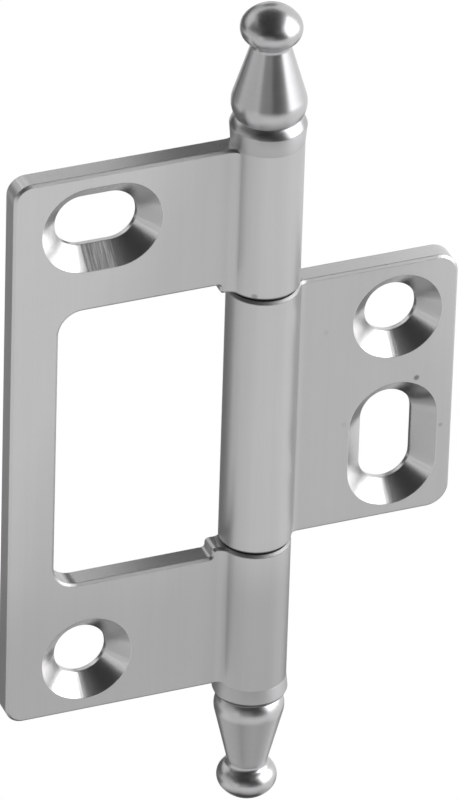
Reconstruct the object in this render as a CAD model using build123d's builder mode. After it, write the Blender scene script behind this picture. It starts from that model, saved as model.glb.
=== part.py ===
from build123d import *

import math
import os

# Nesting butt hinge with turned finials, laid open flat.
# The pin stands along +Z, and the origin is on its axis at the hinge's mid height.
# The large leaf lies towards -X and the small leaf towards +X.
# The faces with the countersinks look towards -Y. All sizes are in millimetres.

# Leaves, each a flat plate in one piece with its barrel
leaf_height = 50.0
leaf_thickness = 2.0
leaf_set_back = 0.25
large_leaf_reach = 21.1
small_leaf_reach = 16.3
large_corner_radius = 1.5
small_corner_radius = 1.8
edge_break = 0.2

# Barrel, knuckles and pin
barrel_radius = 2.92
root_fillet_radius = 0.9
small_knuckle_length = 23.6
knuckle_gap = 0.15
pin_radius = 1.5
running_clearance = 0.05
seat_clearance = 0.02
pin_tail = 2.6
pin_end_chamfer = 0.25

# Window of the large leaf, where the small leaf lies when the hinge is shut
web_reach = 3.85
web_step = 0.8
web_corner_radius = 0.36
web_notch_radius = 0.3
window_side_clearance = 0.95
window_corner_radius = 2.0

# Screw holes, each sunk for a flat-headed wood screw
hole_radius = 2.2
sink_radius = 3.78
sink_angle = 90.0
large_hole_inset = 6.75
large_slot_inset = 7.3
large_hole_spread = 40.15
large_slot_stretch = 2.4
small_hole_inset = 5.05
small_hole_spread = 11.95
small_hole_rise = 0.9
small_slot_stretch = 3.9

# Finials, with heights measured outwards from the end of the barrel
collar_foot_radius = 2.95
collar_radius = 3.05
collar_height = 1.5
shoulder_lean = 17.0
groove_radius = 2.62
groove_height = 2.25
cone_foot_radius = 2.88
cone_foot_height = 4.1
cone_top_radius = 1.65
cone_top_height = 8.15
cone_top_chamfer = 0.15
neck_radius = 1.0
ball_radius = 2.45
ball_half_height = 1.88
ball_height = 10.0
ball_belt_radius = 1.3
bore_spare = 0.4
drill_point_angle = 118.0

# Sizes that follow from the ones above
half_height = leaf_height / 2
front_face = leaf_set_back - leaf_thickness / 2
small_half_height = small_knuckle_length / 2
knuckle_end = small_half_height + knuckle_gap
window_end = knuckle_end + web_step
window_reach = small_leaf_reach + window_side_clearance
gap_reach = 2 * barrel_radius
sink_depth = (sink_radius - hole_radius) / math.tan(math.radians(sink_angle / 2))
cut_depth = 2 * barrel_radius + leaf_thickness

# Places of the holes, measured in from each leaf's outer edge
large_hole_x = large_hole_inset - large_leaf_reach
large_hole_z = -large_hole_spread / 2
large_slot_x = large_slot_inset - large_leaf_reach
large_slot_z = large_hole_spread / 2
small_hole_x = small_leaf_reach - small_hole_inset
small_hole_z = small_hole_rise + small_hole_spread / 2
small_slot_z = small_hole_rise - small_hole_spread / 2

front_plane = Plane(origin=(0, front_face, 0), x_dir=(1, 0, 0), z_dir=(0, -1, 0))
barrel_end_plane = Plane(origin=(0, 0, half_height), x_dir=(1, 0, 0), z_dir=(0, -1, 0))


def draw_leaf_section(reach, side):
    """Plate and barrel in one outline, side -1 to the left of the pin and +1 to the right."""
    with BuildSketch(Plane.XY) as section:
        with Locations((side * reach / 2, leaf_set_back)):
            Rectangle(reach, leaf_thickness)
        Circle(barrel_radius)
        roots = section.vertices().filter_by(lambda v: pin_radius < side * v.X < barrel_radius)
        fillet(roots, root_fillet_radius)
    return section.sketch


def outer_corners(leaf, side):
    """The two edges through the plate at the corners farthest from the pin."""
    return leaf.edges().filter_by(Axis.Y).sort_by(Axis.X, reverse=side < 0)[-2:]


def outline_edges(leaf):
    """Edges of the plate's outline, the window and the knuckle ends, on both faces."""
    return leaf.edges().filter_by(Axis.Y, reverse=True).filter_by(Axis.Z, reverse=True)


def cut_screw_hole(centre_x, centre_z):
    """Round countersunk hole, cut from the front face."""
    with Locations(front_plane):
        with Locations((centre_x, centre_z)):
            CounterSinkHole(hole_radius, sink_radius, cut_depth, sink_angle)


def cut_screw_slot(centre_x, centre_z, stretch, turn):
    """Countersunk slot, the round hole's form stretched across or along the leaf."""
    with BuildSketch(front_plane) as mouth:
        with Locations((centre_x, centre_z)):
            SlotCenterToCenter(stretch, 2 * sink_radius, rotation=turn)
    extrude(mouth.sketch, amount=-sink_depth, taper=sink_angle / 2, mode=Mode.SUBTRACT)
    with BuildSketch(front_plane) as throat:
        with Locations((centre_x, centre_z)):
            SlotCenterToCenter(stretch, 2 * hole_radius, rotation=turn)
    extrude(throat.sketch, amount=-cut_depth, mode=Mode.SUBTRACT)


# Large leaf: plate, upper and lower knuckle, with the window and the knuckle gap cut out.
# The barrel's two outer ends stay sharp, where the finials' collars sit close on them.
with BuildPart() as large_leaf:
    extrude(draw_leaf_section(large_leaf_reach, -1), amount=half_height, both=True)
    fillet(outer_corners(large_leaf, -1), large_corner_radius)
    with BuildSketch(Plane.XZ) as opening:
        with Locations((-(window_reach + web_reach) / 2, 0)):
            Rectangle(window_reach - web_reach, 2 * window_end)
        with Locations(((gap_reach - web_reach) / 2, 0)):
            Rectangle(gap_reach + web_reach, 2 * knuckle_end)
        steps = opening.vertices().group_by(Axis.X)[-2].sort_by(lambda v: abs(v.Y))
        fillet(steps[2:], web_notch_radius)
        steps = opening.vertices().group_by(Axis.X)[-2].sort_by(lambda v: abs(v.Y))
        fillet(steps[:2], web_corner_radius)
        fillet(opening.vertices().group_by(Axis.X)[0], window_corner_radius)
    extrude(opening.sketch, amount=cut_depth, both=True, mode=Mode.SUBTRACT)
    chamfer(outline_edges(large_leaf), edge_break)
    with Locations((0, 0, half_height - edge_break / 2), (0, 0, edge_break / 2 - half_height)):
        Cylinder(barrel_radius, edge_break)
    cut_screw_hole(large_hole_x, large_hole_z)
    cut_screw_slot(large_slot_x, large_slot_z, large_slot_stretch, 0)
    Hole(pin_radius + seat_clearance)
large_leaf.part.label = "large_leaf"

# Small leaf: plate and middle knuckle, both of one height
with BuildPart() as small_leaf:
    extrude(draw_leaf_section(small_leaf_reach, 1), amount=small_half_height, both=True)
    fillet(outer_corners(small_leaf, 1), small_corner_radius)
    chamfer(outline_edges(small_leaf), edge_break)
    cut_screw_hole(small_hole_x, small_hole_z)
    cut_screw_slot(small_hole_x, small_slot_z, small_slot_stretch, 90)
    Hole(pin_radius + running_clearance)
small_leaf.part.label = "small_leaf"

# Pin: through all three knuckles, with a tail in each finial
with BuildPart() as hinge_pin:
    Cylinder(pin_radius, leaf_height + 2 * pin_tail)
    chamfer(hinge_pin.edges().filter_by(GeomType.CIRCLE), pin_end_chamfer)
hinge_pin.part.label = "hinge_pin"

# Top finial: turned in one piece, with a blind drilled bore for the pin's tail
bore_radius = pin_radius + seat_clearance
bore_depth = pin_tail + bore_spare
drill_point = bore_radius / math.tan(math.radians(drill_point_angle / 2))
shoulder_start = (-math.sin(math.radians(shoulder_lean)), math.cos(math.radians(shoulder_lean)))

# The flattened ball: a tight arc round its belt, running smoothly into a flatter crown
belt_centre = ball_radius - ball_belt_radius
crown_radius = (belt_centre**2 + ball_half_height**2 - ball_belt_radius**2) / (
    2 * (ball_half_height - ball_belt_radius)
)
belt_below = math.degrees(math.acos((neck_radius - belt_centre) / ball_belt_radius))
belt_above = math.degrees(math.atan2(crown_radius - ball_half_height, belt_centre))
crown_centre = ball_height + ball_half_height - crown_radius

with BuildPart() as top_finial:
    with BuildSketch(barrel_end_plane) as profile:
        with BuildLine():
            collar = Polyline(
                (bore_radius, 0), (collar_foot_radius, 0), (collar_radius, collar_height)
            )
            shoulder = TangentArc(
                collar @ 1, (groove_radius, groove_height), tangent=shoulder_start
            )
            cone = Line((cone_foot_radius, cone_foot_height), (cone_top_radius, cone_top_height))
            TangentArc(cone @ 0, shoulder @ 1, tangent=(cone % 0) * -1)
            belt = CenterArc(
                (belt_centre, ball_height), ball_belt_radius, -belt_below, belt_below + belt_above
            )
            crown = CenterArc((0, crown_centre), crown_radius, belt_above, 90 - belt_above)
            Polyline(cone @ 1, (neck_radius, cone_top_height), belt @ 0)
            Polyline(crown @ 1, (0, bore_depth + drill_point), (bore_radius, bore_depth), collar @ 0)
        make_face()
        cone_edge = profile.vertices().sort_by_distance((cone_top_radius, cone_top_height))[0]
        chamfer(cone_edge, cone_top_chamfer)
    revolve(axis=Axis.Z)
top_finial.part.label = "top_finial"

# Bottom finial: the same turning, upside down
with BuildPart() as bottom_finial:
    mirror(top_finial.part, about=Plane.XY)
bottom_finial.part.label = "bottom_finial"

os.makedirs("parts", exist_ok=True)
export_step(large_leaf.part, "parts/large_leaf.step")
export_step(small_leaf.part, "parts/small_leaf.step")
export_step(hinge_pin.part, "parts/hinge_pin.step")
export_step(top_finial.part, "parts/top_finial.step")
export_step(bottom_finial.part, "parts/bottom_finial.step")
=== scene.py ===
"""Nesting butt hinge with turned finials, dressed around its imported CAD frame."""

import logging
import math
from dataclasses import dataclass
from enum import Enum

import bmesh
import bpy
from mathutils import Matrix, Vector


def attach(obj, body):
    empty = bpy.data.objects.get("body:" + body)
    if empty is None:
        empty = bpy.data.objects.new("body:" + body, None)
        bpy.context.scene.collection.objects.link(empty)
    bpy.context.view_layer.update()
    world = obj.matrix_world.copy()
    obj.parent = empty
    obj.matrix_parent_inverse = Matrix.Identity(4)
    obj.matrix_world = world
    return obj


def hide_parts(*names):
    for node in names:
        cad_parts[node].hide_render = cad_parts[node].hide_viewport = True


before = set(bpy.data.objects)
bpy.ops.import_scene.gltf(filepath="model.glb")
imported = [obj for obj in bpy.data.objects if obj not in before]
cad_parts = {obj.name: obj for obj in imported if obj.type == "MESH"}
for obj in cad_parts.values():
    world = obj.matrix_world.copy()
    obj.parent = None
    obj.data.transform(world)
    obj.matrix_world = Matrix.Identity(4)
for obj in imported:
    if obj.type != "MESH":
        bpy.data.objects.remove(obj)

LOG = logging.getLogger("butt_hinge")
MM = 0.001
RIGHT_ANGLE = 90.0
WHITE = (1.0, 1.0, 1.0, 1.0)
UP = (0.0, 0.0, 1.0)
NUDGE = (0.001, 0.0, 0.0)

Socket = bpy.types.NodeSocket
Feed = Socket | float
Colour = tuple[float, float, float]
Place = tuple[float, float, float]
Point = tuple[float, float]


class Spread(Enum):
    """Which way a slot is stretched from a round hole, as shares along X and Z."""

    NONE = (0.0, 0.0)
    ACROSS_LEAF = (1.0, 0.0)
    ALONG_LEAF = (0.0, 1.0)


class BarrelEnd(Enum):
    """Which end of the barrel a finial stands on, as the way it points along Z."""

    TOP = 1.0
    BOTTOM = -1.0


@dataclass(frozen=True)
class Grain:
    """A smooth random pattern: its size along X, Y and Z in millimetres, and its layers."""

    size: Place
    layers: float


class ShaderBench:
    """Lays the nodes of one material or world and wires them together."""

    def __init__(self, tree: bpy.types.NodeTree) -> None:
        """Start from an empty tree."""
        self.tree = tree
        tree.nodes.clear()

    def node(self, kind: str, **settings: object) -> bpy.types.Node:
        """Add one node and set its plain properties.

        Args:
            kind: Blender's type name of the node.
            settings: Properties of the node, by name.

        Returns:
            The new node.
        """
        made = self.tree.nodes.new(kind)
        for name, value in settings.items():
            setattr(made, name, value)
        return made

    def feed(self, node: bpy.types.Node, **inputs: object) -> bpy.types.Node:
        """Set or link a node's inputs.

        Args:
            node: The node to feed.
            inputs: Socket names in small letters with _ for a space, each with a
                socket to link or a value to set.

        Returns:
            The same node.
        """
        by_name: dict[str, Socket] = {}
        for socket in node.inputs:
            by_name.setdefault(socket.name.lower().replace(" ", "_"), socket)
        for name, value in inputs.items():
            self.put(by_name[name], value)
        return node

    def put(self, socket: Socket, value: object) -> None:
        """Link a socket into another, or set it to a value.

        Args:
            socket: The socket to fill.
            value: The socket to link, or the value to set.
        """
        if isinstance(value, Socket):
            self.tree.links.new(value, socket)
        else:
            socket.default_value = value

    def sum(self, operation: str, *terms: Feed) -> Socket:
        """Work out one number from others.

        Args:
            operation: Name of the Math node's operation.
            terms: Numbers or sockets that go in, in order.

        Returns:
            The socket that holds the result.
        """
        made = self.node("ShaderNodeMath", operation=operation)
        for socket, term in zip(made.inputs, terms):
            self.put(socket, term)
        return made.outputs[0]

    def times(self, first: Feed, second: Feed) -> Socket:
        """Multiply two numbers."""
        return self.sum("MULTIPLY", first, second)

    def size_of(self, value: Feed) -> Socket:
        """Take a number without its sign."""
        return self.sum("ABSOLUTE", value)

    def step(self, value: Feed, start: float, end: float) -> Socket:
        """Rise smoothly from 0 to 1 while a value goes from start to end.

        Args:
            value: What is measured.
            start: Where the result is still 0.
            end: Where the result has reached 1, on either side of start.

        Returns:
            The socket that holds the result.
        """
        made = self.node("ShaderNodeMapRange", interpolation_type="SMOOTHSTEP")
        self.feed(made, value=value, from_min=start, from_max=end)
        return made.outputs["Result"]

    def blend(self, share: Feed, first: Feed, second: Feed) -> Socket:
        """Go from one number to another.

        Args:
            share: 0 for the first number and 1 for the second.
            first: The number at share 0.
            second: The number at share 1.

        Returns:
            The socket that holds the result.
        """
        made = self.node("ShaderNodeMapRange")
        self.feed(made, value=share, to_min=first, to_max=second)
        return made.outputs["Result"]

    def gain(self, level: Feed, mask: Feed, factor: float) -> Socket:
        """Multiply a level by a factor where a mask is 1."""
        return self.times(level, self.blend(mask, 1.0, factor))

    def vary(self, level: Feed, random: Feed, play: float) -> Socket:
        """Let a level go up and down by a share of itself, after a random value."""
        return self.times(level, self.blend(random, 1 - play, 1 + play))

    def any_of(self, masks: list[Feed]) -> Socket:
        """Give the highest of several masks, or 0 where there is none.

        Args:
            masks: Numbers or sockets.

        Returns:
            The socket that holds the highest.
        """
        highest = self.sum("ADD", 0.0, 0.0)
        for mask in masks:
            highest = self.sum("MAXIMUM", highest, mask)
        return highest

    def millimetres(self) -> Socket:
        """Give the piece's own coordinates in millimetres.

        Returns:
            The socket with the place.
        """
        place = self.node("ShaderNodeTexCoord").outputs["Object"]
        scaled = self.node("ShaderNodeVectorMath", operation="SCALE")
        self.feed(scaled, vector=place)
        scaled.inputs["Scale"].default_value = 1 / MM
        return scaled.outputs[0]

    def parts(self, vector: Socket) -> tuple[Socket, Socket, Socket]:
        """Split a place or a direction into its X, Y and Z."""
        x, y, z = self.feed(self.node("ShaderNodeSeparateXYZ"), vector=vector).outputs
        return x, y, z

    def facing(self) -> Socket:
        """Give the direction that the surface faces, without bumps."""
        return self.node("ShaderNodeNewGeometry").outputs["True Normal"]

    def across_lines(self) -> Socket:
        """Give the level direction in the surface, across lines that run along the pin.

        Returns:
            The socket with the direction, nudged so that it is never zero.
        """
        level = self.node("ShaderNodeVectorMath", operation="CROSS_PRODUCT")
        self.put(level.inputs[0], UP)
        self.put(level.inputs[1], self.facing())
        nudged = self.node("ShaderNodeVectorMath", operation="ADD")
        self.put(nudged.inputs[0], level.outputs[0])
        self.put(nudged.inputs[1], NUDGE)
        return nudged.outputs[0]

    def off_line(self, x: Feed, z: Feed, centre: Point, half: Point) -> Socket:
        """Measure how far a point is from a short level or upright line, or from a point.

        Args:
            x: The point's X in millimetres.
            z: The point's Z in millimetres.
            centre: X and Z of the line's middle.
            half: Half the line's length along X and along Z.

        Returns:
            The socket with the distance in millimetres.
        """
        squares = []
        for value, middle, reach in zip((x, z), centre, half):
            offset = self.size_of(self.sum("SUBTRACT", value, middle))
            beyond = self.sum("MAXIMUM", self.sum("SUBTRACT", offset, reach), 0.0)
            squares.append(self.times(beyond, beyond))
        return self.sum("SQRT", self.sum("ADD", *squares))

    def noise(self, place: Socket, grain: Grain) -> Socket:
        """Give a smooth random value.

        Args:
            place: Coordinates in millimetres.
            grain: The pattern's size and layers.

        Returns:
            The socket with values around one half.
        """
        shrink = self.node("ShaderNodeVectorMath", operation="DIVIDE")
        self.put(shrink.inputs[0], place)
        self.put(shrink.inputs[1], grain.size)
        made = self.node("ShaderNodeTexNoise", noise_dimensions="3D")
        self.feed(made, vector=shrink.outputs[0], scale=1.0, detail=grain.layers)
        return made.outputs[0]

    def grey(self, level: Feed, tint: Colour) -> Socket:
        """Turn a number into a colour of that level with a faint tint.

        Args:
            level: The number.
            tint: Colour that the level is multiplied by.

        Returns:
            The socket with the colour.
        """
        made = self.node("ShaderNodeVectorMath", operation="SCALE")
        self.put(made.inputs[0], tint)
        self.put(made.inputs["Scale"], level)
        return made.outputs[0]

    def bump(self, height: Feed, normal: Socket | None = None) -> Socket:
        """Turn a height in millimetres into a bumped normal.

        Args:
            height: The height.
            normal: The normal that is bumped, or none for the surface's own.

        Returns:
            The socket with the bumped normal.
        """
        made = self.node("ShaderNodeBump")
        self.feed(made, strength=1.0, distance=MM, height=height)
        if normal is not None:
            self.feed(made, normal=normal)
        return made.outputs[0]

    def finish(self, surface: Socket) -> None:
        """Give the material its surface."""
        self.feed(self.node("ShaderNodeOutputMaterial"), surface=surface)


def new_material(name: str) -> tuple[bpy.types.Material, ShaderBench]:
    """Start a material from an empty tree.

    Args:
        name: Name of the material.

    Returns:
        The material, and the bench for its nodes.
    """
    made = bpy.data.materials.new(name)
    made.use_nodes = True
    return made, ShaderBench(made.node_tree)


@dataclass(frozen=True)
class ScrewSeat:
    """A countersunk hole or slot, seen from the leaf's front, in millimetres."""

    centre_x: float
    centre_z: float
    stretch: float = 0.0
    spread: Spread = Spread.NONE
    sink_radius: float = 3.78
    seat_back: float = 1.2
    edge_width: float = 0.03
    run_margin: float = 1.0

    def distance(self, bench: ShaderBench, x: Feed, z: Feed) -> Socket:
        """Measure how far a point is from the seat's centre line, in millimetres."""
        half = tuple(self.stretch / 2 * share for share in self.spread.value)
        return bench.off_line(x, z, (self.centre_x, self.centre_z), half)

    def straight_run(self, bench: ShaderBench, x: Feed, z: Feed) -> Feed:
        """Give 1 along the straight part of a slot that lies across the leaf.

        Args:
            bench: Where the nodes are laid.
            x: The point's X in millimetres.
            z: The point's Z in millimetres.

        Returns:
            The socket with the mask, or 0 for any other seat.
        """
        if self.spread is not Spread.ACROSS_LEAF:
            return 0.0
        offset = bench.size_of(bench.sum("SUBTRACT", x, self.centre_x))
        half = self.stretch / 2
        along = bench.step(offset, half + self.edge_width, half)
        rise = bench.size_of(bench.sum("SUBTRACT", z, self.centre_z))
        near = bench.step(rise, self.sink_radius + self.run_margin, self.sink_radius)
        return bench.times(along, near)

    def mask(self, bench: ShaderBench, x: Feed, y: Feed, z: Feed) -> Socket:
        """Give 1 on the seat's cut faces and 0 elsewhere.

        Args:
            bench: Where the nodes are laid.
            x: The point's X in millimetres.
            y: The point's Y in millimetres.
            z: The point's Z in millimetres.

        Returns:
            The socket with the mask.
        """
        reach = self.distance(bench, x, z)
        inside = bench.step(reach, self.sink_radius + self.edge_width, self.sink_radius)
        front = bench.step(y, self.seat_back + self.edge_width, self.seat_back)
        return bench.times(inside, front)


@dataclass(frozen=True)
class Speck:
    """A tiny dark pit in a leaf's front face, in millimetres."""

    centre_x: float
    centre_z: float
    radius: float
    depth: float
    core: float = 0.4

    def mask(self, bench: ShaderBench, x: Feed, z: Feed) -> Socket:
        """Give the speck's depth in its core and 0 outside it."""
        reach = bench.off_line(x, z, (self.centre_x, self.centre_z), (0.0, 0.0))
        return bench.times(bench.step(reach, self.radius, self.radius * self.core), self.depth)


@dataclass(frozen=True)
class LeafPoint:
    """What the shader knows of a point on a leaf: place, facing, masks and random values."""

    place: Socket
    x: Socket
    y: Socket
    z: Socket
    facing_x: Socket
    facing_z: Socket
    barrel: Socket
    rim: Socket
    seat: Socket
    lines: Socket
    pores: Socket
    chatter: Socket


@dataclass(frozen=True)
class SatinFinish:
    """Satin metal with fine lines along the pin, brighter machined screw seats, painted sheen and painted
    shade.
    """

    name: str
    level: float = 0.515
    tint: Colour = (1.0, 0.992, 0.996)
    mottle: float = 0.03
    mottle_grain: Grain = Grain((6.0, 6.0, 9.0), 3.0)
    streak: float = 0.035
    broad_streak: float = 0.02
    broad_grain: Grain = Grain((0.5, 0.5, 30.0), 1.0)
    line_grain: Grain = Grain((0.07, 0.07, 9.0), 2.0)
    line_height: float = 0.0012
    pore_grain: Grain = Grain((0.12, 0.12, 0.2), 2.0)
    pore_height: float = 0.0006
    pore_roughness: float = 0.04
    roughness: float = 0.42
    roughness_play: float = 0.05
    anisotropy: float = 0.4
    barrel_reach: float = 2.94
    barrel_fade: float = 0.3
    # Painted sheen: the knuckles' level is raised to stand in for their brighter reflection.
    barrel_painted_light_gain: float = 1.05
    barrel_roughness: float = 0.37
    # Painted shade: the lowest knuckle is darkened further.
    lower_barrel_shade_gain: float = 0.87
    rim_height: float = 11.88
    rim_width: float = 0.32
    rim_fade: float = 0.04
    # Painted shade: the knuckle ends beside the gaps are darkened, dimming their highlight.
    rim_shade_gain: float = 0.7
    rim_roughness: float = 0.5
    # Painted sheen: the level rises towards the leaves' outer edges and their top.
    painted_sheen_gain: float = 1.15
    painted_sheen_rise: float = 0.35
    painted_sheen_start: float = 13.0
    painted_sheen_end: float = 21.0
    # Painted shade: the level falls towards the bottom of the hinge.
    foot_shade_gain: float = 0.93
    foot_shade_start: float = 10.0
    foot_shade_end: float = 17.0
    cut_roughness: float = 0.24
    cut_facing: float = 0.8
    cut_fade: float = 0.05
    seat_level: float = 0.63
    seat_roughness: float = 0.25
    seat_ring_pitch: float = 0.09
    seat_ring_height: float = 0.0006
    # Painted shade: seat faces turned to the left and not upward are darker.
    shaded_side_level: float = 0.47
    shade_left: Point = (0.15, 0.5)
    shade_below: Point = (0.4, 0.1)
    chatter_grain: Grain = Grain((0.13, 4.0, 4.0), 2.0)
    chatter_height: float = 0.004
    chatter_edges: Point = (0.35, 0.65)
    chatter_play: float = 0.3
    chatter_facing: float = 0.55
    chatter_fade: float = 0.04
    pit_shade: float = 0.25
    pit_face: Point = (0.1, -0.1)
    edge_radius: float = 0.11
    edge_samples: int = 6
    seated_end: float = 24.8
    seated_fade: float = 0.2

    def material(self, seats: tuple[ScrewSeat, ...], specks: tuple[Speck, ...]) -> bpy.types.Material:
        """Build the finish for one leaf.

        Args:
            seats: The leaf's screw seats.
            specks: Tiny pits in its front face.

        Returns:
            The new material.
        """
        made, bench = new_material(self.name)
        point = self.read_point(bench, seats)
        level = self.plate_level(bench, point)
        level = bench.blend(point.seat, level, self.cut_seat_level(bench, point, seats))
        pits = bench.any_of([speck.mask(bench, point.x, point.z) for speck in specks])
        pits = bench.times(pits, bench.step(point.y, *self.pit_face))
        level = bench.blend(pits, level, self.level * self.pit_shade)
        normal = bench.bump(self.relief(bench, point, seats), self.soft_edges(bench, point))
        shader = bench.node("ShaderNodeBsdfPrincipled")
        bench.feed(shader, metallic=1.0, anisotropic=self.anisotropy)
        bench.feed(shader, base_color=bench.grey(level, self.tint), roughness=self.rough(bench, point))
        bench.feed(shader, normal=normal, tangent=bench.across_lines())
        bench.finish(shader.outputs[0])
        return made

    def read_point(self, bench: ShaderBench, seats: tuple[ScrewSeat, ...]) -> LeafPoint:
        """Lay the nodes that say where on the leaf the shader is.

        The barrel's mask fades out over the root's fillet. The rims are the knuckles' ends beside
        the two gaps, where the level gets painted shade.

        Args:
            bench: Where the nodes are laid.
            seats: The leaf's screw seats.

        Returns:
            The sockets.
        """
        place = bench.millimetres()
        x, y, z = bench.parts(place)
        facing_x, _, facing_z = bench.parts(bench.facing())
        off_axis = bench.sum("SQRT", bench.sum("ADD", bench.times(x, x), bench.times(y, y)))
        barrel = bench.step(off_axis, self.barrel_reach + self.barrel_fade, self.barrel_reach)
        from_rim = bench.size_of(bench.sum("SUBTRACT", bench.size_of(z), self.rim_height))
        near_rim = bench.step(from_rim, self.rim_width + self.rim_fade, self.rim_width)
        return LeafPoint(
            place=place,
            x=x,
            y=y,
            z=z,
            facing_x=facing_x,
            facing_z=facing_z,
            barrel=barrel,
            rim=bench.times(barrel, near_rim),
            seat=bench.any_of([seat.mask(bench, x, y, z) for seat in seats]),
            lines=bench.noise(place, self.line_grain),
            pores=bench.noise(place, self.pore_grain),
            chatter=bench.noise(place, self.chatter_grain),
        )

    def plate_level(self, bench: ShaderBench, point: LeafPoint) -> Socket:
        """Give how bright the metal is outside its screw seats, with painted sheen and painted shade.

        Args:
            bench: Where the nodes are laid.
            point: The point on the leaf.

        Returns:
            The socket with the level.
        """
        level = bench.vary(self.level, bench.noise(point.place, self.mottle_grain), self.mottle)
        level = bench.vary(level, point.lines, self.streak)
        level = bench.vary(level, bench.noise(point.place, self.broad_grain), self.broad_streak)
        # Painted sheen on the knuckles.
        level = bench.gain(level, point.barrel, self.barrel_painted_light_gain)
        # Painted shade at the knuckle ends beside the gaps.
        level = bench.gain(level, point.rim, self.rim_shade_gain)
        # Painted sheen towards the outer edges and the top.
        outward = bench.sum("ADD", bench.size_of(point.x), bench.times(point.z, self.painted_sheen_rise))
        level = bench.gain(level, bench.step(outward, self.painted_sheen_start, self.painted_sheen_end), self.painted_sheen_gain)
        # Painted shade towards the bottom, and more of it on the lowest knuckle.
        foot_shade = bench.step(bench.times(point.z, -1.0), self.foot_shade_start, self.foot_shade_end)
        level = bench.gain(level, foot_shade, self.foot_shade_gain)
        return bench.gain(level, bench.times(foot_shade, point.barrel), self.lower_barrel_shade_gain)

    def cut_seat_level(self, bench: ShaderBench, point: LeafPoint, seats: tuple[ScrewSeat, ...]) -> Socket:
        """Give how bright the screw seats are, with the tool's stripes on a slot's lower side and painted
        shade on faces turned left.

        Args:
            bench: Where the nodes are laid.
            point: The point on the leaf.
            seats: The leaf's screw seats.

        Returns:
            The socket with the level.
        """
        stripes = bench.vary(1.0, bench.step(point.chatter, *self.chatter_edges), self.chatter_play)
        low_side = bench.step(point.facing_z, self.chatter_facing, self.chatter_facing + self.chatter_fade)
        on_cone = bench.step(point.facing_z, self.cut_facing, self.cut_facing - self.cut_fade)
        straight = bench.any_of([seat.straight_run(bench, point.x, point.z) for seat in seats])
        striped = bench.times(bench.times(low_side, on_cone), straight)
        # Painted shade on seat faces turned to the left.
        turned_left = bench.step(bench.times(point.facing_x, -1.0), *self.shade_left)
        shaded_side = bench.times(turned_left, bench.step(point.facing_z, *self.shade_below))
        plain = bench.blend(shaded_side, self.seat_level, self.shaded_side_level)
        return bench.times(bench.blend(striped, 1.0, stripes), plain)

    def rough(self, bench: ShaderBench, point: LeafPoint) -> Socket:
        """Give how rough the metal is.

        Args:
            bench: Where the nodes are laid.
            point: The point on the leaf.

        Returns:
            The socket with the roughness.
        """
        low, high = self.roughness - self.roughness_play, self.roughness + self.roughness_play
        pores = bench.blend(point.pores, -self.pore_roughness, self.pore_roughness)
        rough = bench.sum("ADD", bench.blend(point.lines, low, high), pores)
        rough = bench.blend(point.barrel, rough, self.barrel_roughness)
        cut = bench.step(bench.size_of(point.facing_z), self.cut_facing, self.cut_facing + self.cut_fade)
        rough = bench.blend(cut, rough, self.cut_roughness)
        rough = bench.blend(point.seat, rough, self.seat_roughness)
        return bench.blend(point.rim, rough, self.rim_roughness)

    def relief(self, bench: ShaderBench, point: LeafPoint, seats: tuple[ScrewSeat, ...]) -> Socket:
        """Give the height of the fine lines, and of the tool marks in the seats.

        Args:
            bench: Where the nodes are laid.
            point: The point on the leaf.
            seats: The leaf's screw seats.

        Returns:
            The socket with the height in millimetres.
        """
        lines = bench.times(point.lines, self.line_height)
        open_face = bench.sum("ADD", lines, bench.times(point.pores, self.pore_height))
        nearest = seats[0].distance(bench, point.x, point.z)
        for other in seats[1:]:
            nearest = bench.sum("MINIMUM", nearest, other.distance(bench, point.x, point.z))
        turns = bench.times(nearest, 2 * math.pi / self.seat_ring_pitch)
        rings = bench.times(bench.sum("SINE", turns), self.seat_ring_height)
        marks = bench.sum("ADD", rings, bench.times(point.chatter, self.chatter_height))
        return bench.blend(point.seat, open_face, marks)

    def soft_edges(self, bench: ShaderBench, point: LeafPoint) -> Socket:
        """Round the normals at the edges, but not at the barrel's ends under the collars.

        Args:
            bench: Where the nodes are laid.
            point: The point on the leaf.

        Returns:
            The socket with the normal.
        """
        end = bench.step(bench.size_of(point.z), self.seated_end - self.seated_fade, self.seated_end)
        radius = bench.blend(bench.times(end, point.barrel), self.edge_radius * MM, 0.0)
        rounded = bench.node("ShaderNodeBevel", samples=self.edge_samples)
        return bench.feed(rounded, radius=radius).outputs[0]


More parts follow.
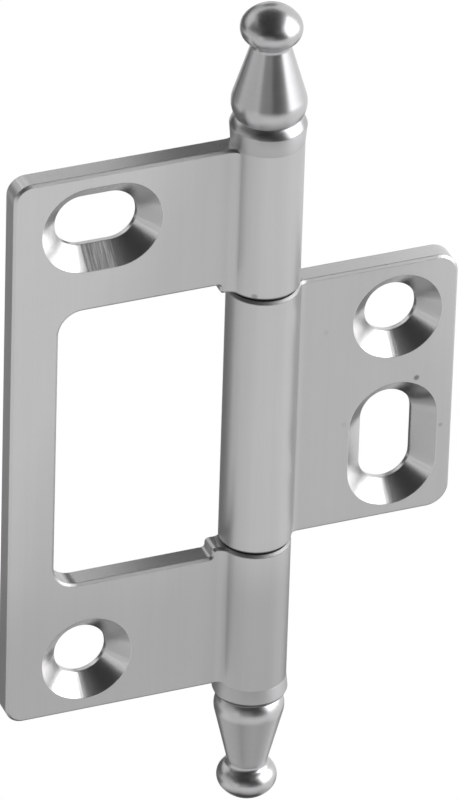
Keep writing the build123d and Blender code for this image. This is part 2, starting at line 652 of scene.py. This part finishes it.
@dataclass(frozen=True)
class TurnedFinish:
    """Bright satin metal turned on a lathe, with faint rings round the pin and painted shade on the
    shoulder between collar and groove.
    """

    name: str
    level: float = 0.525
    tint: Colour = (0.99, 0.985, 1.0)
    band_play: float = 0.04
    band_grain: Grain = Grain((40.0, 40.0, 0.4), 1.0)
    cloud_play: float = 0.03
    cloud_grain: Grain = Grain((1.5, 1.5, 1.5), 3.0)
    cloud_roughness: float = 0.03
    roughness: float = 0.31
    roughness_play: float = 0.05
    anisotropy: float = 0.35
    quarter_turn: float = 0.25
    collar_height: float = 26.5
    collar_fade: float = 0.02
    collar_level: float = 0.515
    collar_roughness: float = 0.42
    # Painted shade on the shoulder between the collar and the groove.
    groove_height: float = 27.0
    groove_fade: float = 0.2
    groove_shade_gain: float = 0.82
    ring_grain: Grain = Grain((60.0, 60.0, 0.05), 3.0)
    ring_height: float = 0.0009

    def material(self) -> bpy.types.Material:
        """Build the finish.

        Returns:
            The new material.
        """
        made, bench = new_material(self.name)
        place = bench.millimetres()
        rings = bench.noise(place, self.ring_grain)
        bands = bench.noise(place, self.band_grain)
        cloud = bench.noise(place, self.cloud_grain)
        level = bench.vary(bench.vary(self.level, bands, self.band_play), cloud, self.cloud_play)
        low, high = self.roughness - self.roughness_play, self.roughness + self.roughness_play
        cloudy = bench.blend(cloud, -self.cloud_roughness, self.cloud_roughness)
        rough = bench.sum("ADD", bench.blend(rings, low, high), cloudy)

        height = bench.size_of(bench.parts(place)[2])
        collar_top = self.collar_height + self.collar_fade
        collar = bench.step(height, collar_top, self.collar_height - self.collar_fade)
        level = bench.blend(collar, level, self.collar_level)
        rough = bench.blend(collar, rough, self.collar_roughness)
        # Painted shade on the shoulder between the collar and the groove.
        above = bench.step(height, self.collar_height, collar_top + self.collar_fade)
        below = bench.step(height, self.groove_height + self.groove_fade, self.groove_height)
        level = bench.gain(level, bench.times(above, below), self.groove_shade_gain)

        around = bench.node("ShaderNodeTangent", direction_type="RADIAL", axis="Z")
        shader = bench.node("ShaderNodeBsdfPrincipled")
        bench.feed(shader, metallic=1.0)
        bench.feed(shader, anisotropic=self.anisotropy, anisotropic_rotation=self.quarter_turn)
        bench.feed(shader, base_color=bench.grey(level, self.tint), roughness=rough)
        normal = bench.bump(bench.times(rings, self.ring_height))
        bench.feed(shader, normal=normal, tangent=around.outputs[0])
        bench.finish(shader.outputs[0])
        return made


@dataclass(frozen=True)
class Leaf:
    """One leaf of the hinge, a CAD solid that keeps its shape and gets its finish."""

    node: str
    seats: tuple[ScrewSeat, ...]
    specks: tuple[Speck, ...]
    finish: SatinFinish

    def dress(self) -> bpy.types.Object:
        """Give the leaf its finish.

        Returns:
            The leaf's object.
        """
        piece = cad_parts[self.node]
        wear(piece, self.finish.material(self.seats, self.specks))
        LOG.info("%s: %d screw seats, %d specks", self.node, len(self.seats), len(self.specks))
        return piece


@dataclass(frozen=True)
class HingePin:
    """The pin, a CAD solid that shows only in the gaps between the knuckles."""

    node: str
    finish: TurnedFinish

    def dress(self) -> bpy.types.Object:
        """Give the pin its finish.

        Returns:
            The pin's object.
        """
        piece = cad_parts[self.node]
        wear(piece, self.finish.material())
        LOG.info("%s: dressed", self.node)
        return piece


@dataclass(frozen=True)
class Arc:
    """A piece of a circle in a turned profile, in radius and height."""

    centre: Point
    radius: float
    start: float
    end: float

    def points(self, steps: int) -> list[Point]:
        """Give points along the arc in equal steps, both ends included."""
        turns = (self.start + (self.end - self.start) * i / steps for i in range(steps + 1))
        return [
            (self.centre[0] + self.radius * math.cos(t), self.centre[1] + self.radius * math.sin(t))
            for t in turns
        ]

    @staticmethod
    def leaving(start: Point, heading: Point, end: Point) -> "Arc":
        """Find the arc that leaves a point in a given direction and reaches another.

        Args:
            start: Where the arc starts.
            heading: The direction in which it leaves.
            end: Where it ends.

        Returns:
            The arc, turning less than half a circle.
        """
        length = math.hypot(*heading)
        across = (-heading[1] / length, heading[0] / length)
        chord = (end[0] - start[0], end[1] - start[1])
        offset = (chord[0] ** 2 + chord[1] ** 2) / (2 * (chord[0] * across[0] + chord[1] * across[1]))
        centre = (start[0] + across[0] * offset, start[1] + across[1] * offset)
        first = math.atan2(start[1] - centre[1], start[0] - centre[0])
        last = math.atan2(end[1] - centre[1], end[0] - centre[0])
        turn = (last - first + math.pi) % (2 * math.pi) - math.pi
        return Arc(centre, abs(offset), first, first + turn)


@dataclass(frozen=True)
class Finial:
    """A turned finial: collar, groove, cone, hollow waist and ball, bored for the pin's tail.

    Radii and heights are in millimetres, and heights are measured outwards from the
    end of the barrel.
    """

    node: str
    end: BarrelEnd
    finish: TurnedFinish
    bore_radius: float = 1.52
    bore_depth: float = 3.0
    drill_point: float = 0.913
    foot_radius: float = 2.92
    collar_radius: float = 3.05
    collar_height: float = 1.5
    collar_edge: float = 0.01
    shoulder_lean: float = 17.0
    groove_radius: float = 2.62
    groove_height: float = 2.25
    cone_foot: Point = (2.88, 4.1)
    cone_top: Point = (1.65, 8.15)
    waist_radius: float = 0.45
    belt_radius: float = 1.3
    ball_radius: float = 2.45
    ball_half_height: float = 1.88
    ball_height: float = 10.0
    barrel_half: float = 25.0
    turns: int = 160
    corner_steps: int = 8
    waist_steps: int = 16
    bulge_steps: int = 28
    belt_steps: int = 56
    crease_angle: float = 25.0

    def softened(self, before: Point, corner: Point, after: Point, radius: float) -> list[Point]:
        """Round one corner of the profile.

        Args:
            before: A point on the line that comes in.
            corner: The corner.
            after: A point on the line that goes out.
            radius: Radius of the rounding.

        Returns:
            Points along the rounding, in order.
        """
        first = Vector((before[0] - corner[0], before[1] - corner[1])).normalized()
        second = Vector((after[0] - corner[0], after[1] - corner[1])).normalized()
        run = radius / math.tan(first.angle(second) / 2)
        start = Vector(corner) + first * run
        end = Vector(corner) + second * run
        return Arc.leaving(tuple(start), tuple(-first), tuple(end)).points(self.corner_steps)

    def waist(self, belt_middle: Vector) -> Arc:
        """Find the hollow that leads from the cone into the ball's belt.

        Args:
            belt_middle: Centre of the belt's arc.

        Returns:
            The arc, tangent to the cone and to the belt.
        """
        along = (Vector(self.cone_top) - Vector(self.cone_foot)).normalized()
        outward = Vector((along.y, -along.x))
        offset = Vector(self.cone_foot) + outward * self.waist_radius - belt_middle
        back = offset.dot(along)
        reach = self.belt_radius + self.waist_radius
        run = -back - math.sqrt(back**2 - offset.length_squared + reach**2)
        to_middle = offset + along * run
        start = math.atan2(-outward.y, -outward.x) % (2 * math.pi)
        end = math.atan2(-to_middle.y, -to_middle.x)
        return Arc(tuple(belt_middle + to_middle), self.waist_radius, start, end)

    def ball(self) -> tuple[Arc, Arc, Arc]:
        """Find the waist, the ball's tight belt and its flatter crown.

        Returns:
            The three arcs, from the cone up to the tip.
        """
        belt_x = self.ball_radius - self.belt_radius
        rise = self.ball_half_height - self.belt_radius
        crown = (belt_x**2 + self.ball_half_height**2 - self.belt_radius**2) / (2 * rise)
        meet = math.atan2(crown - self.ball_half_height, belt_x)
        waist = self.waist(Vector((belt_x, self.ball_height)))
        belt = Arc((belt_x, self.ball_height), self.belt_radius, waist.end - math.pi, meet)
        tip_middle = (0.0, self.ball_height + self.ball_half_height - crown)
        return waist, belt, Arc(tip_middle, crown, meet, math.pi / 2)

    def profile(self) -> list[Point]:
        """Give the closed half outline in radius and height.

        Returns:
            The points from the bore's mouth, up the outside to the tip and down the bore.
        """
        lean = math.radians(self.shoulder_lean)
        crease = (self.collar_radius, self.collar_height)
        groove = (self.groove_radius, self.groove_height)
        shoulder = Arc.leaving(crease, (-math.sin(lean), math.cos(lean)), groove)
        down = (self.cone_foot[0] - self.cone_top[0], self.cone_foot[1] - self.cone_top[1])
        bulge = Arc.leaving(self.cone_foot, down, groove)
        waist, belt, tip = self.ball()
        mouth = (self.bore_radius, 0.0)
        line = [mouth]
        line += self.softened(mouth, (self.foot_radius, 0.0), crease, self.collar_edge)
        line += shoulder.points(self.corner_steps)
        line += list(reversed(bulge.points(self.bulge_steps)))[1:]
        line += waist.points(self.waist_steps)
        line += belt.points(self.belt_steps)[1:]
        line += tip.points(self.bulge_steps)[1:-1]
        line.append((0.0, self.ball_height + self.ball_half_height))
        line.append((0.0, self.bore_depth + self.drill_point))
        line.append((self.bore_radius, self.bore_depth))
        return line

    def build(self) -> bpy.types.Object:
        """Turn the profile round the pin's axis.

        Returns:
            The finial's object, in place of its CAD solid.
        """
        shape = bmesh.new()
        rings = [self.ring(shape, radius, height) for radius, height in self.profile()]
        for low, high in zip(rings, rings[1:] + rings[:1]):
            self.join(shape, low, high)
        bmesh.ops.recalc_face_normals(shape, faces=shape.faces)
        mesh = bpy.data.meshes.new(self.node + "_turning")
        shape.to_mesh(mesh)
        shape.free()
        mesh.polygons.foreach_set("use_smooth", [True] * len(mesh.polygons))
        mesh.set_sharp_from_angle(angle=math.radians(self.crease_angle))
        made = bpy.data.objects.new(self.node + "_turned", mesh)
        bpy.context.scene.collection.objects.link(made)
        wear(made, self.finish.material())
        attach(made, "fixed_leaf")
        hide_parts(self.node)
        LOG.info("%s: %d faces", made.name, len(mesh.polygons))
        return made

    def ring(self, shape: bmesh.types.BMesh, radius: float, height: float) -> list[bmesh.types.BMVert]:
        """Set one ring of the turning, or one point where the radius is 0.

        Args:
            shape: The mesh that is being made.
            radius: The ring's radius in millimetres.
            height: Its height outwards from the end of the barrel, in millimetres.

        Returns:
            The ring's points.
        """
        level = self.end.value * (self.barrel_half + height) * MM
        if radius == 0.0:
            return [shape.verts.new((0.0, 0.0, level))]
        angles = (2 * math.pi * i / self.turns for i in range(self.turns))
        reach = radius * MM
        return [shape.verts.new((reach * math.cos(a), reach * math.sin(a), level)) for a in angles]

    def join(
        self, shape: bmesh.types.BMesh, low: list[bmesh.types.BMVert], high: list[bmesh.types.BMVert]
    ) -> None:
        """Fill the band between two rings, either of which may be one point.

        Args:
            shape: The mesh that is being made.
            low: The first ring's points.
            high: The second ring's points.
        """
        if len(low) == 1 and len(high) == 1:
            return
        for i in range(self.turns):
            after = (i + 1) % self.turns
            below = [low[i % len(low)], low[after % len(low)]]
            above = [high[after % len(high)], high[i % len(high)]]
            shape.faces.new(list(dict.fromkeys(below + above)))


def wear(piece: bpy.types.Object, material: bpy.types.Material) -> None:
    """Put one material on every slot of a piece.

    Args:
        piece: The object to dress.
        material: What it wears.
    """
    if not piece.material_slots:
        piece.data.materials.append(material)
    for slot in piece.material_slots:
        slot.material = material


def ray(azimuth: float, elevation: float) -> Vector:
    """Give a direction from the hinge.

    Args:
        azimuth: Degrees from +Y towards +X.
        elevation: Degrees above the horizon.

    Returns:
        The direction, of length 1.
    """
    turn, rise = math.radians(azimuth), math.radians(elevation)
    return Vector((math.sin(turn) * math.cos(rise), math.cos(turn) * math.cos(rise), math.sin(rise)))


def face_hinge(piece: bpy.types.Object, azimuth: float, elevation: float, distance: float) -> None:
    """Set a lamp or card out from the hinge and turn it to face it.

    Args:
        piece: The lamp or card.
        azimuth: Degrees from +Y towards +X.
        elevation: Degrees above the horizon.
        distance: How far out it stands, in metres.
    """
    towards = ray(azimuth, elevation)
    piece.rotation_mode = "QUATERNION"
    piece.rotation_quaternion = towards.to_track_quat("Z", "Y")
    piece.location = towards * distance


def rectangle(low: Point, high: Point, level: float = 0.0) -> list[Place]:
    """Give a level rectangle's corners in order, from its lowest and highest X and Y."""
    (x0, y0), (x1, y1) = low, high
    return [(x0, y0, level), (x1, y0, level), (x1, y1, level), (x0, y1, level)]


def sheet_object(name: str, corner_points: list[Place]) -> bpy.types.Object:
    """Make a flat sheet of four corners.

    Args:
        name: Name of the sheet.
        corner_points: Its corners, in metres.

    Returns:
        The sheet's object.
    """
    mesh = bpy.data.meshes.new(name)
    mesh.from_pydata(corner_points, [], [(0, 1, 2, 3)])
    made = bpy.data.objects.new(name, mesh)
    bpy.context.scene.collection.objects.link(made)
    return made


def tone_card(name: str, corner_points: list[Place], tone: float) -> bpy.types.Object:
    """Make a four-cornered card of one tone, seen only in reflections.

    Args:
        name: Name of the card.
        corner_points: Its corners, in metres.
        tone: How bright it is, 1 being white.

    Returns:
        The card's object.
    """
    made = sheet_object(name, corner_points)
    made.visible_camera = False
    made.visible_diffuse = False
    made.visible_shadow = False
    material, bench = new_material(name)
    glow = bench.node("ShaderNodeEmission")
    bench.feed(glow, color=(tone, tone, tone, 1.0), strength=1.0)
    bench.finish(glow.outputs[0])
    wear(made, material)
    return made


@dataclass(frozen=True)
class Softbox:
    """A soft lamp that faces the hinge, in degrees and metres."""

    name: str
    azimuth: float
    elevation: float
    distance: float
    width: float
    height: float
    brightness: float

    def hang(self) -> bpy.types.Object:
        """Make the lamp and aim it at the hinge.

        Returns:
            The lamp's object.
        """
        lamp = bpy.data.lights.new(self.name, "AREA")
        lamp.shape = "RECTANGLE"
        lamp.size, lamp.size_y = self.width, self.height
        lamp.energy = self.brightness * math.pi * self.width * self.height
        made = bpy.data.objects.new(self.name, lamp)
        bpy.context.scene.collection.objects.link(made)
        face_hinge(made, self.azimuth, self.elevation, self.distance)
        made.visible_camera = False
        return made


@dataclass(frozen=True)
class ShadeCard:
    """A card of one tone that only the metal's reflections see, in degrees and metres."""

    name: str
    azimuth: float
    elevation: float
    distance: float
    width: float
    height: float
    tone: float

    def stand(self) -> bpy.types.Object:
        """Make the card and face it to the hinge.

        Returns:
            The card's object.
        """
        across, up = self.width / 2, self.height / 2
        made = tone_card(self.name, rectangle((-across, -up), (across, up)), self.tone)
        face_hinge(made, self.azimuth, self.elevation, self.distance)
        return made


@dataclass(frozen=True)
class FloorSheet:
    """A sheet of one tone on the floor that only the metal's reflections see, in metres."""

    name: str
    low: Point
    high: Point
    tone: float
    lift: float = 0.001

    def lay(self, floor_drop: float) -> bpy.types.Object:
        """Lay the sheet just above a floor that lies floor_drop below the hinge's middle."""
        return tone_card(self.name, rectangle(self.low, self.high, self.lift - floor_drop), self.tone)


@dataclass(frozen=True)
class Banner:
    """A hung sheet of one tone that only the metal's reflections see, in metres.

    It is spanned by two directions from a middle point.
    """

    name: str
    across: Vector
    up: Vector
    middle: Place
    across_reach: Point
    up_reach: Point
    tone: float

    def hang(self) -> bpy.types.Object:
        """Make the sheet.

        Returns:
            The sheet's object.
        """
        low, high = zip(self.across_reach, self.up_reach)
        flat = rectangle(low, high)
        points = [tuple(Vector(self.middle) + self.across * a + self.up * b) for a, b, _ in flat]
        return tone_card(self.name, points, self.tone)


@dataclass(frozen=True)
class Surroundings:
    """The pale floor and the white space round it, in metres."""

    floor_drop: float = 0.2
    floor_size: float = 6.0
    floor_colour: Colour = (0.9, 0.9, 0.9)
    ambient: float = 0.8

    def shown(self, bench: ShaderBench) -> Socket:
        """Give 1 where the camera, metal or glass looks, and 0 for other light.

        Args:
            bench: Where the nodes are laid.

        Returns:
            The socket with the mask.
        """
        path = bench.node("ShaderNodeLightPath")
        seen = bench.sum("MAXIMUM", path.outputs["Is Camera Ray"], path.outputs["Is Glossy Ray"])
        return bench.sum("MAXIMUM", seen, path.outputs["Is Transmission Ray"])

    def light_world(self) -> None:
        """Fill the space round the hinge with even white light."""
        world = bpy.data.worlds.new("white_space")
        world.use_nodes = True
        bench = ShaderBench(world.node_tree)
        sky = bench.node("ShaderNodeBackground")
        bench.feed(sky, color=WHITE, strength=bench.blend(self.shown(bench), self.ambient, 1.0))
        bench.feed(bench.node("ShaderNodeOutputWorld"), surface=sky.outputs[0])
        bpy.context.scene.world = world

    def lay_floor(self) -> bpy.types.Object:
        """Lay the floor below the hinge.

        Returns:
            The floor's object.
        """
        half = self.floor_size / 2
        made = sheet_object("floor", rectangle((-half, -half), (half, half)))
        made.location = (0, 0, -self.floor_drop)
        material, bench = new_material("floor_white")
        matt = bench.feed(bench.node("ShaderNodeBsdfDiffuse"), color=(*self.floor_colour, 1.0))
        glow = bench.feed(bench.node("ShaderNodeEmission"), color=WHITE, strength=1.0)
        both = bench.node("ShaderNodeMixShader")
        for socket, value in zip(both.inputs, (self.shown(bench), matt.outputs[0], glow.outputs[0])):
            bench.put(socket, value)
        bench.finish(both.outputs[0])
        wear(made, material)
        return made


@dataclass(frozen=True)
class Studio:
    """The softbox, cards and sheets that shape what the metal reflects, in degrees and metres."""

    softbox: Softbox = Softbox("key_softbox", 112.0, 24.5, 0.8, 0.84, 0.8, 2.5)
    cards: tuple[ShadeCard, ...] = (
        ShadeCard("tripod_shade", 172.0, 0.0, 1.0, 1.15, 0.5, 0.05),
        ShadeCard("tripod_side_shade", -158.0, 0.0, 1.05, 1.1, 0.5, 0.33),
        ShadeCard("camera_side_shade", -158.0, 38.0, 1.0, 2.3, 1.06, 0.04),
        ShadeCard("upper_shade", 152.0, 55.0, 0.95, 0.7, 0.5, 0.3),
        ShadeCard("left_wall", -75.0, 3.0, 0.95, 1.5, 0.45, 0.7),
        ShadeCard("left_upper_shade", -88.0, 32.0, 0.9, 0.9, 0.48, 0.18),
        ShadeCard("far_shade", -28.0, -2.0, 0.9, 1.4, 0.5, 0.08),
    )
    sheets: tuple[FloorSheet, ...] = (
        FloorSheet("left_sheet", (-1.2, -0.06), (-0.12, 1.2), 0.92),
        FloorSheet("near_left_sheet", (-1.2, -0.4), (-0.2, -0.06), 0.82),
        FloorSheet("near_sheet", (-0.12, -0.262), (0.23, -0.12), 0.86),
        FloorSheet("far_left_sheet", (-0.42, 0.14), (0.03, 1.2), 0.16, 0.002),
        FloorSheet("behind_sheet", (0.03, 0.06), (0.25, 0.24), 0.25, 0.002),
        FloorSheet("wide_sheet_below", (-0.15, -0.15), (0.15, 0.15), 0.6, 0.0025),
        FloorSheet("sheet_below", (-0.075, -0.055), (0.075, 0.1), 0.05, 0.003),
    )
    ceiling_middle: Place = (0.0, 0.0, 0.7)
    ceiling_turn: float = 22.0
    ceiling_ahead: Point = (-0.6, 0.62)
    ceiling_sideways: Point = (-0.6, 0.55)
    ceiling_tone: float = 0.06
    strips_behind: float = 0.0428
    top_rise: Point = (0.046, 0.064)
    window_rise: Point = (0.004, 0.025)
    dark_run: Point = (0.006, 0.024)
    side_run: Point = (-0.012, 0.006)
    dark_tone: float = 0.02
    top_side_tone: float = 0.66
    window_side_tone: float = 0.78

    def banners(self) -> tuple[Banner, ...]:
        """Give the ceiling, and the strips that the window's and the top's edges reflect.

        Returns:
            The banners, ready to hang.
        """
        ceiling = Banner(
            "ceiling_shade",
            ray(self.ceiling_turn, 0.0),
            ray(self.ceiling_turn + RIGHT_ANGLE, 0.0),
            self.ceiling_middle,
            self.ceiling_ahead,
            self.ceiling_sideways,
            self.ceiling_tone,
        )
        strips = (
            ("top_strip", self.dark_run, self.top_rise, self.dark_tone),
            ("window_strip", self.dark_run, self.window_rise, self.dark_tone),
            ("top_side_strip", self.side_run, self.top_rise, self.top_side_tone),
            ("window_side_strip", self.side_run, self.window_rise, self.window_side_tone),
        )
        level, upright, behind = Vector((1, 0, 0)), Vector(UP), (0.0, self.strips_behind, 0.0)
        return (ceiling, *(Banner(name, level, upright, behind, *rest) for name, *rest in strips))

    def set_up(self, floor_drop: float) -> None:
        """Hang, stand and lay everything.

        Args:
            floor_drop: How far the floor is below the hinge's middle, in metres.
        """
        self.softbox.hang()
        for card in self.cards:
            card.stand()
        for banner in self.banners():
            banner.hang()
        for sheet in self.sheets:
            sheet.lay(floor_drop)


@dataclass(frozen=True)
class PhotoCamera:
    """The camera at the photograph's viewing angle, in degrees and millimetres.

    The focal length and the photograph's height are in pixels.
    """

    turn: float = 22.222
    pitch: float = 32.891
    roll: float = 1.8185
    distance: float = 721.685
    target: Place = (-2.5087, 0.0, 1.4637)
    focal_pixels: float = 9184.49
    photo_pixels: int = 800
    sensor: float = 36.0
    clip_start: float = 10.0

    def stand(self) -> bpy.types.Object:
        """Make the camera and set it as the scene's.

        Returns:
            The camera's object.
        """
        lens = bpy.data.cameras.new("photo_camera")
        lens.sensor_fit = "VERTICAL"
        lens.sensor_height = self.sensor
        lens.lens = self.focal_pixels / self.photo_pixels * self.sensor
        lens.clip_start = self.clip_start * MM
        made = bpy.data.objects.new("photo_camera", lens)
        bpy.context.scene.collection.objects.link(made)
        forward = ray(self.turn, -self.pitch)
        level = ray(self.turn + RIGHT_ANGLE, 0.0)
        upward = level.cross(forward)
        roll = math.radians(self.roll)
        side = math.cos(roll) * level + math.sin(roll) * upward
        top = -math.sin(roll) * level + math.cos(roll) * upward
        matrix = Matrix((side, top, -forward)).transposed().to_4x4()
        matrix.translation = (Vector(self.target) - forward * self.distance) * MM
        made.matrix_world = matrix
        bpy.context.scene.camera = made
        return made


def dress_leaves() -> None:
    """Give both leaves their satin finish, with their screw seats and specks."""
    satin = SatinFinish("satin_leaf")
    large_seats = (
        ScrewSeat(-13.8, 20.075, 2.4, Spread.ACROSS_LEAF),
        ScrewSeat(-14.35, -20.075),
    )
    small_seats = (
        ScrewSeat(11.25, 6.875),
        ScrewSeat(11.25, -5.075, 3.9, Spread.ALONG_LEAF),
    )
    large_specks = (Speck(-1.66, 12.34, 0.28, 0.5),)
    small_specks = (
        Speck(13.09, 0.77, 0.32, 0.75),
        Speck(15.35, -4.14, 0.26, 0.3),
        Speck(5.2, 6.6, 0.3, 0.12),
        Speck(7.0, -2.4, 0.3, 0.12),
    )
    Leaf("large_leaf", large_seats, large_specks, satin).dress()
    Leaf("small_leaf", small_seats, small_specks, satin).dress()


def turn_finials() -> None:
    """Turn both finials, the bottom one with a shorter collar and a slimmer cone."""
    Finial("top_finial", BarrelEnd.TOP, TurnedFinish("turned_finial")).build()
    # The bottom finial's collar is painted darker and its shoulder gets stronger painted shade, matching
    # the painted shade at the barrel's foot.
    low_finish = TurnedFinish(
        "turned_finial_low",
        collar_height=26.2,
        collar_level=0.47,
        groove_height=26.6,
        groove_shade_gain=0.6,
    )
    Finial(
        "bottom_finial",
        BarrelEnd.BOTTOM,
        low_finish,
        collar_height=1.2,
        groove_radius=2.5,
        groove_height=1.85,
        cone_foot=(2.8, 3.45),
        cone_top=(1.7, 8.15),
    ).build()


def main() -> None:
    """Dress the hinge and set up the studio."""
    logging.basicConfig(level=logging.INFO, format="%(name)s: %(message)s")
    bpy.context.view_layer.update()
    dress_leaves()
    HingePin("hinge_pin", TurnedFinish("ground_pin")).dress()
    turn_finials()
    space = Surroundings()
    space.light_world()
    space.lay_floor()
    Studio().set_up(space.floor_drop)
    PhotoCamera().stand()
    bpy.context.scene.view_settings.view_transform = "Standard"


if __name__ == "__main__":
    main()
